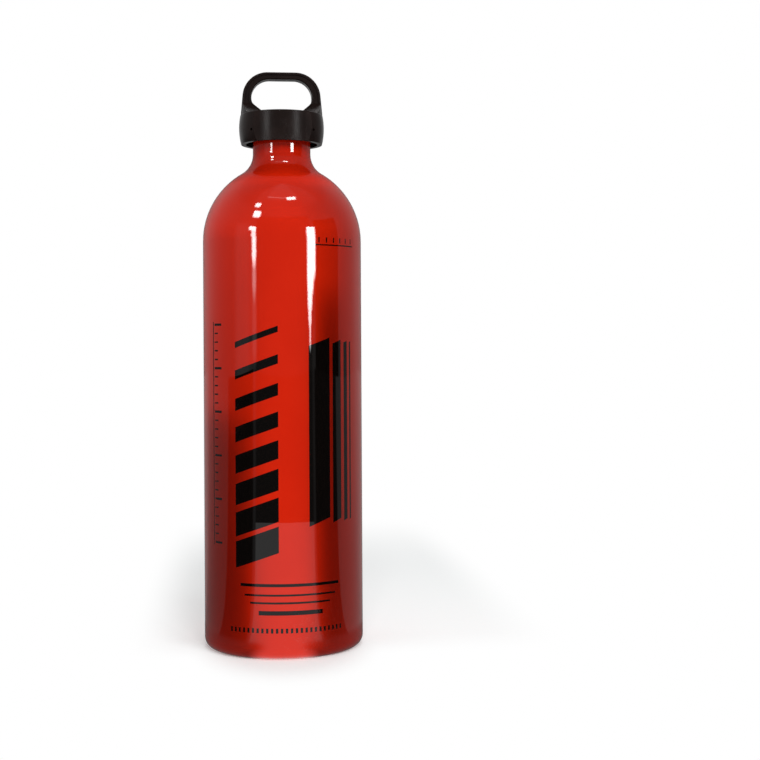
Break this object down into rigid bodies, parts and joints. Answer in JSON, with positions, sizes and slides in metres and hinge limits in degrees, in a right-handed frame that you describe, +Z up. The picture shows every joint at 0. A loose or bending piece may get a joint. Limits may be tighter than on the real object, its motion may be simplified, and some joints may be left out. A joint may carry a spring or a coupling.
{
  "type": "camping fuel bottle",
  "caption": "Tall cylindrical aluminium fuel bottle with a domed shoulder, a narrow threaded neck and a press-and-turn closure with a carrying loop.",
  "frame": {"origin": "middle of the foot, on the surface that the bottle stands on", "axes": "+Z up along the bottle's axis, from the foot to the carrying loop; the loop's broad face looks along -Y"},
  "size_m": [0.075, 0.075, 0.272],
  "materials": {
    "enamelled_shell": "glossy red enamel outside, bare aluminium inside the neck and the body",
    "plug_plastic": "moulded black plastic",
    "seal_rubber": "smooth black fuel-proof rubber",
    "washer_steel": "plain stamped steel",
    "spring_steel": "drawn spring wire",
    "ring_plastic": "moulded black plastic",
    "cap_plastic": "satin moulded black plastic"
  },
  "bodies": {
    "bottle": {"bottle_shell": "enamelled_shell"},
    "seal": {"seal_ring": "seal_rubber"},
    "plug": {"thread_plug": "plug_plastic"},
    "spring_seat": {"thrust_washer": "washer_steel", "press_spring": "spring_steel"},
    "cap": {"overcap": "cap_plastic", "retaining_ring": "ring_plastic"}
  },
  "joints": [
    {"name": "closure_rise", "type": "slide", "parent": "bottle", "child": "seal", "axis": [0, 0, 1], "range_m": [0, 0.0151]},
    {"name": "closure_turn", "type": "hinge", "parent": "seal", "child": "plug", "pos_m": [0, 0, 0.242], "axis": [0, 0, 1], "range_deg": [0, 1350]},
    {"name": "overcap_spin", "type": "hinge", "parent": "plug", "child": "spring_seat", "pos_m": [0, 0, 0.245], "axis": [0, 0, 1], "range_deg": [-180, 180]},
    {"name": "overcap_press", "type": "slide", "parent": "spring_seat", "child": "cap", "axis": [0, 0, -1], "range_m": [0, 0.0016], "stiffness_N_per_m": 4000, "springref_m": -0.0016, "deforming": ["press_spring"]}
  ],
  "couplings": [
    {"joint": "closure_rise", "follows": "closure_turn", "m_per_rad": 0.00063662}
  ]
}
